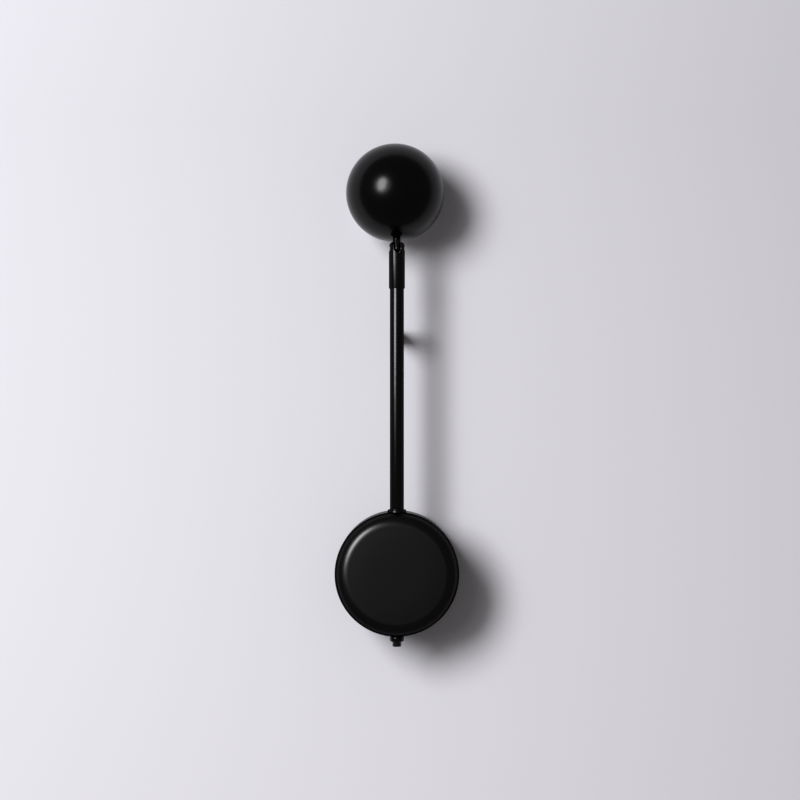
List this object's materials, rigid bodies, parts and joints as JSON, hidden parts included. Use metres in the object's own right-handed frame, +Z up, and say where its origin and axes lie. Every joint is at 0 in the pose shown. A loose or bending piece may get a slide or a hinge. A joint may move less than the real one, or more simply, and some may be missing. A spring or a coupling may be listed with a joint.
{
  "type": "adjustable wall light",
  "caption": "Wall light with a ball head on a tilting, turning fork, a slim upright arm braced by a post, and a deep round drum with a push switch.",
  "frame": {"origin": "middle of the wall plate's back face, on the wall", "axes": "+X to the right, +Y into the wall, +Z up along the arm"},
  "size_m": [0.125, 0.0996, 0.5089],
  "materials": {
    "satin_black": "satin powder coat, black",
    "gloss_black": "gloss black lacquer",
    "gloss_button": "gloss black moulding",
    "black_plastic": "moulded",
    "white_plastic": "moulded",
    "grey_plastic": "moulded",
    "white_board": "white reflective coat",
    "opal_diffuser": "opal, satin",
    "led_emitter": "phosphor yellow",
    "zinc_steel": "zinc plated",
    "aluminium": "turned",
    "brass": "plain",
    "rubber": "matte"
  },
  "bodies": {
    "base": {"canopy_drum": "satin_black", "wall_plate": "zinc_steel", "canopy_screw_left": "zinc_steel", "canopy_screw_right": "zinc_steel", "led_driver": "white_plastic", "driver_screw_left": "zinc_steel", "driver_screw_right": "zinc_steel", "terminal_block": "grey_plastic", "terminal_screw_1": "zinc_steel", "terminal_screw_2": "zinc_steel", "terminal_screw_3": "zinc_steel", "earth_screw": "brass", "switch_body": "black_plastic", "switch_nut": "satin_black", "arm_socket": "gloss_black", "socket_washer": "zinc_steel", "socket_nut": "zinc_steel", "arm_tube": "gloss_black", "standoff_post": "satin_black", "post_pad": "rubber", "post_saddle": "satin_black"},
    "button": {"switch_button": "gloss_button"},
    "sleeve": {"fork_sleeve": "gloss_black", "swivel_set_screw": "zinc_steel", "pivot_screw": "zinc_steel", "pivot_nut": "zinc_steel"},
    "head": {"stem": "gloss_black", "ball_shade": "satin_black", "stem_washer": "zinc_steel", "stem_nut": "zinc_steel", "lamp_bracket": "zinc_steel", "heat_sink": "aluminium", "sink_screw_top": "zinc_steel", "sink_screw_bottom": "zinc_steel", "led_board": "white_board", "led_emitter": "led_emitter", "reflector": "white_board", "shade_ring": "satin_black", "diffuser": "opal_diffuser"}
  },
  "joints": [
    {"name": "head_swivel", "type": "hinge", "parent": "base", "child": "sleeve", "pos_m": [0, -0.066, 0.3], "axis": [0, 0, 1], "range_deg": [-175, 175]},
    {"name": "head_tilt", "type": "hinge", "parent": "sleeve", "child": "head", "pos_m": [0, -0.066, 0.3275], "axis": [0.994, 0.1097, 0], "range_deg": [0, 108]},
    {"name": "switch_press", "type": "slide", "parent": "base", "child": "button", "axis": [0, 0, 1], "range_m": [0, 0.0025], "stiffness_N_per_m": 800, "springref_m": -0.001}
  ]
}
